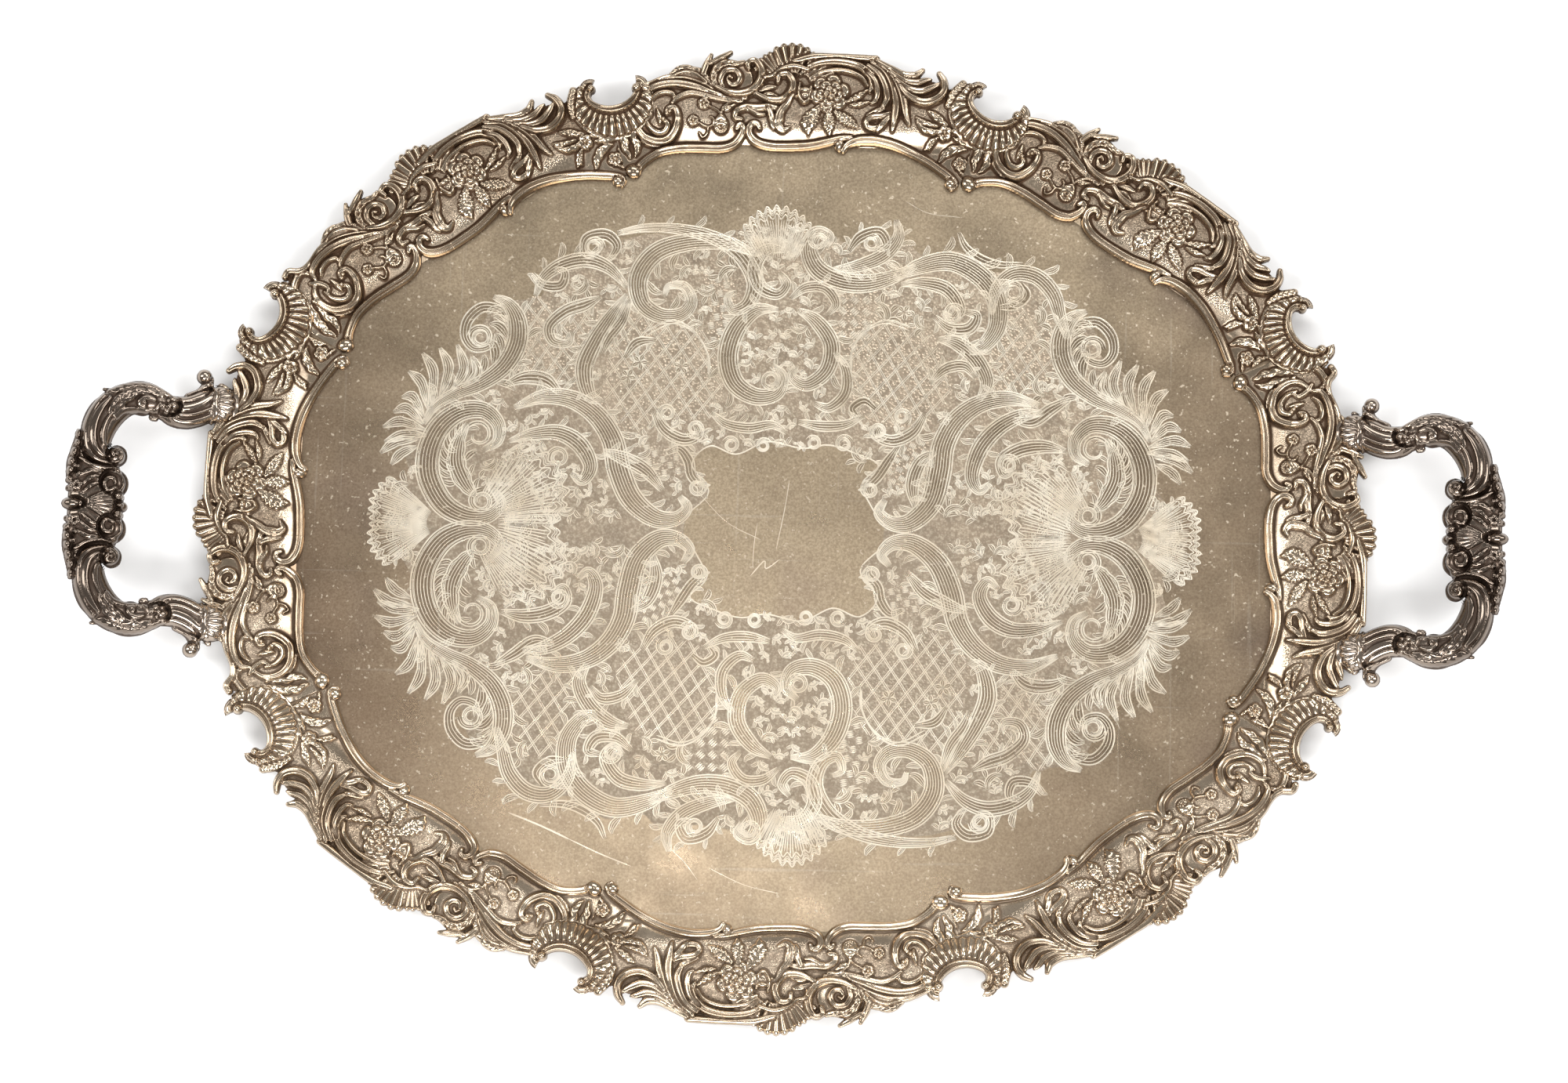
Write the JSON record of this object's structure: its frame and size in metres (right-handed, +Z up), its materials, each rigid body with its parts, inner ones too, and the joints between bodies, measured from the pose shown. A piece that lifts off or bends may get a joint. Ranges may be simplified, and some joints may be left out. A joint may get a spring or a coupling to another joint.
{
  "type": "two-handled serving tray",
  "caption": "Oval two-handled metal tray with an engraved well, a cast scroll-and-shell border and two raised cast handles.",
  "frame": {"origin": "middle of the flat underside of the well, on the surface that the tray stands on", "axes": "+X from handle to handle, +Z up out of the well, +Y across the tray"},
  "size_m": [0.7376, 0.5216, 0.0375],
  "materials": {
    "tray_sheet": "worn silver plate, warm grey-gold tarnish",
    "cast_border": "polished silver plate with dark patina in the recesses",
    "cast_handle": "worn silver plate, dark patina",
    "fixings": "bare brass"
  },
  "bodies": {
    "root": {"tray_well": "tray_sheet", "left_handle": "cast_handle", "right_handle": "cast_handle", "handle_screws": "fixings", "handle_washers": "fixings", "tray_ledge_1": "tray_sheet", "tray_ledge_2": "tray_sheet", "tray_ledge_3": "tray_sheet", "tray_ledge_4": "tray_sheet", "tray_ledge_5": "tray_sheet", "tray_ledge_6": "tray_sheet", "tray_ledge_7": "tray_sheet", "tray_ledge_8": "tray_sheet", "bud_mount_1": "cast_border", "bud_mount_2": "cast_border", "bud_mount_3": "cast_border", "bud_mount_4": "cast_border", "bud_mount_5": "cast_border", "bud_mount_6": "cast_border", "bud_mount_7": "cast_border", "bud_mount_8": "cast_border", "rose_mount_1": "cast_border", "rose_mount_2": "cast_border", "rose_mount_3": "cast_border", "rose_mount_4": "cast_border", "rose_mount_5": "cast_border", "rose_mount_6": "cast_border", "rose_mount_7": "cast_border", "rose_mount_8": "cast_border"}
  },
  "joints": []
}
